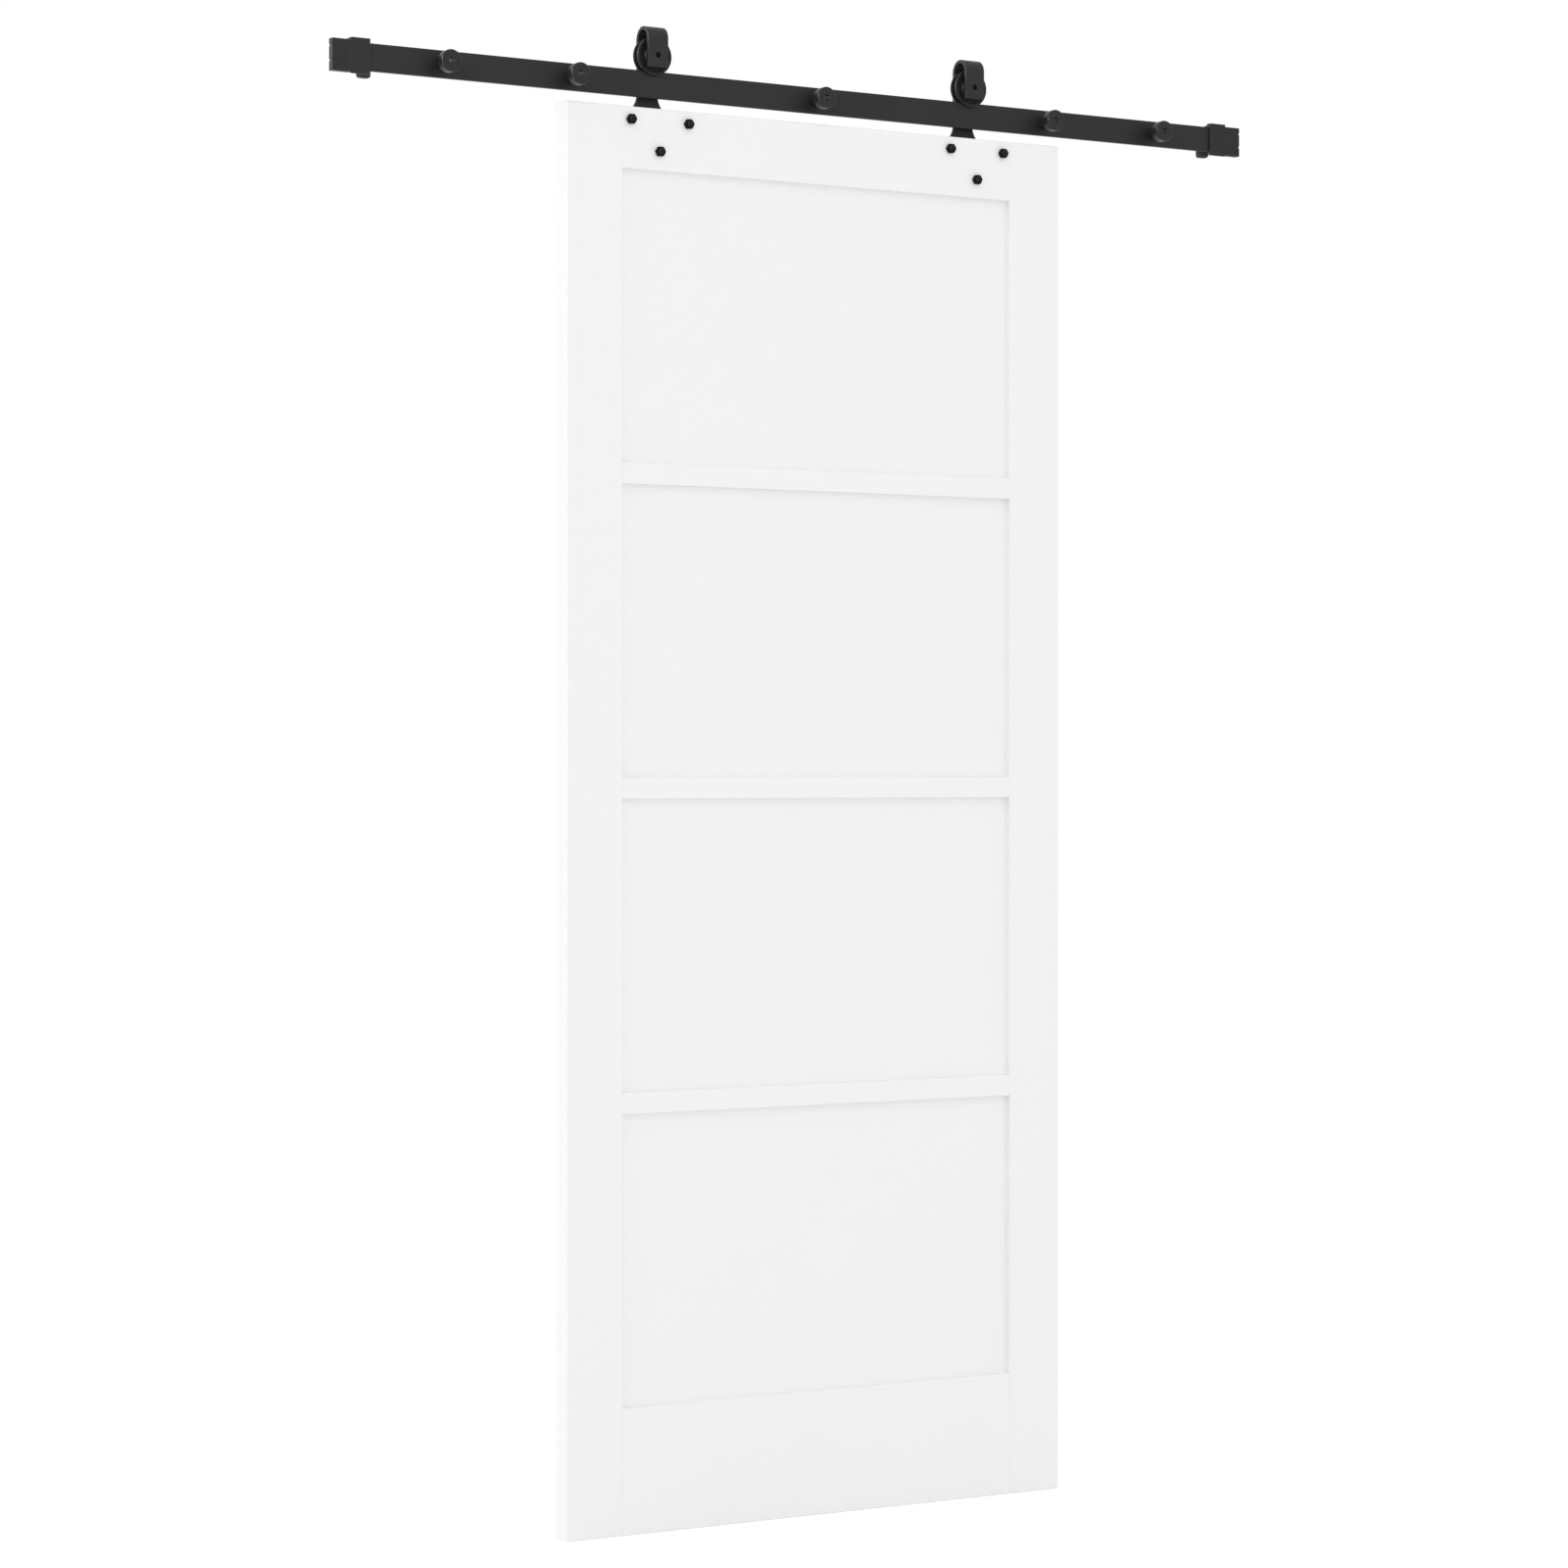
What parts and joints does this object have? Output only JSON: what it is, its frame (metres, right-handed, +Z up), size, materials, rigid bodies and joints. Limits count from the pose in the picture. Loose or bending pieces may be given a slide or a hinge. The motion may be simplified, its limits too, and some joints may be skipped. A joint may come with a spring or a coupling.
{
  "type": "sliding barn door with rail hardware",
  "caption": "White panelled sliding door hung by bent strap hangers on grooved wheels that roll along a black flat-bar wall rail with round spacers and end stops.",
  "frame": {"origin": "centre of the middle wall fixing hole, at the wall plane on the spacer's end", "axes": "+X along the rail, to the right when seen from the wall side; +Y from the wall into the room; +Z up"},
  "size_m": [1.529, 0.0618, 2.1339],
  "materials": {
    "black_coated_steel": "fine-textured black powder coat, satin",
    "black_screw_steel": "black oxide, satin",
    "black_nylon": "moulded, satin",
    "bumper_rubber": "moulded rubber, matt",
    "cap_plastic": "moulded, matt, fine grain",
    "bearing_steel": "ground, blued dark",
    "zinc_steel": "black zinc plated",
    "white_door_paint": "white satin paint over wood fibre board",
    "dowel_wood": "beech, bare"
  },
  "bodies": {
    "track": {"rail": "black_coated_steel", "wall_spacer_left_end": "black_coated_steel", "wall_spacer_left": "black_coated_steel", "wall_spacer_centre": "black_coated_steel", "wall_spacer_right": "black_coated_steel", "wall_spacer_right_end": "black_coated_steel", "left_stop_clamp": "black_coated_steel", "left_stop_set_screws": "black_screw_steel", "left_stop_bumper": "bumper_rubber", "left_bumper_screw": "black_screw_steel", "left_end_cap": "cap_plastic", "right_stop_clamp": "black_coated_steel", "right_stop_set_screws": "black_screw_steel", "right_stop_bumper": "bumper_rubber", "right_bumper_screw": "black_screw_steel", "right_end_cap": "cap_plastic"},
    "door": {"door_left_stile": "white_door_paint", "door_right_stile": "white_door_paint", "door_top_rail": "white_door_paint", "door_mid_rail_1": "white_door_paint", "door_mid_rail_2": "white_door_paint", "door_mid_rail_3": "white_door_paint", "door_bottom_rail": "white_door_paint", "door_panel_1": "white_door_paint", "door_panel_2": "white_door_paint", "door_panel_3": "white_door_paint", "door_panel_4": "white_door_paint", "door_dowels": "dowel_wood", "left_hanger_strap": "black_coated_steel", "left_hanger_bolts": "black_screw_steel", "left_hanger_nuts": "black_screw_steel", "left_axle_bolt": "black_screw_steel", "left_axle_sleeves": "zinc_steel", "left_bearing_inner_ring": "bearing_steel", "right_hanger_strap": "black_coated_steel", "right_hanger_bolts": "black_screw_steel", "right_hanger_nuts": "black_screw_steel", "right_axle_bolt": "black_screw_steel", "right_axle_sleeves": "zinc_steel", "right_bearing_inner_ring": "bearing_steel"},
    "left_wheel": {"left_wheel": "black_nylon", "left_bearing_outer_ring": "bearing_steel", "left_bearing_shields": "zinc_steel"},
    "left_balls": {"left_bearing_balls": "bearing_steel", "left_ball_cage": "zinc_steel"},
    "right_wheel": {"right_wheel": "black_nylon", "right_bearing_outer_ring": "bearing_steel", "right_bearing_shields": "zinc_steel"},
    "right_balls": {"right_bearing_balls": "bearing_steel", "right_ball_cage": "zinc_steel"}
  },
  "joints": [
    {"name": "door_slide", "type": "slide", "parent": "track", "child": "door", "axis": [1, 0, 0], "range_m": [-0.4114, 0.4114]},
    {"name": "left_wheel_spin", "type": "hinge", "parent": "door", "child": "left_wheel", "pos_m": [-0.2675, 0.038, 0.0403], "axis": [0, 1, 0], "continuous": true},
    {"name": "left_balls_spin", "type": "hinge", "parent": "door", "child": "left_balls", "pos_m": [-0.2675, 0.038, 0.0403], "axis": [0, 1, 0], "continuous": true},
    {"name": "right_wheel_spin", "type": "hinge", "parent": "door", "child": "right_wheel", "pos_m": [0.2675, 0.038, 0.0403], "axis": [0, 1, 0], "continuous": true},
    {"name": "right_balls_spin", "type": "hinge", "parent": "door", "child": "right_balls", "pos_m": [0.2675, 0.038, 0.0403], "axis": [0, 1, 0], "continuous": true}
  ],
  "couplings": [
    {"joint": "left_wheel_spin", "follows": "door_slide", "rad_per_m": 47.619},
    {"joint": "left_balls_spin", "follows": "door_slide", "rad_per_m": 29.919},
    {"joint": "right_wheel_spin", "follows": "door_slide", "rad_per_m": 47.619},
    {"joint": "right_balls_spin", "follows": "door_slide", "rad_per_m": 29.919}
  ]
}
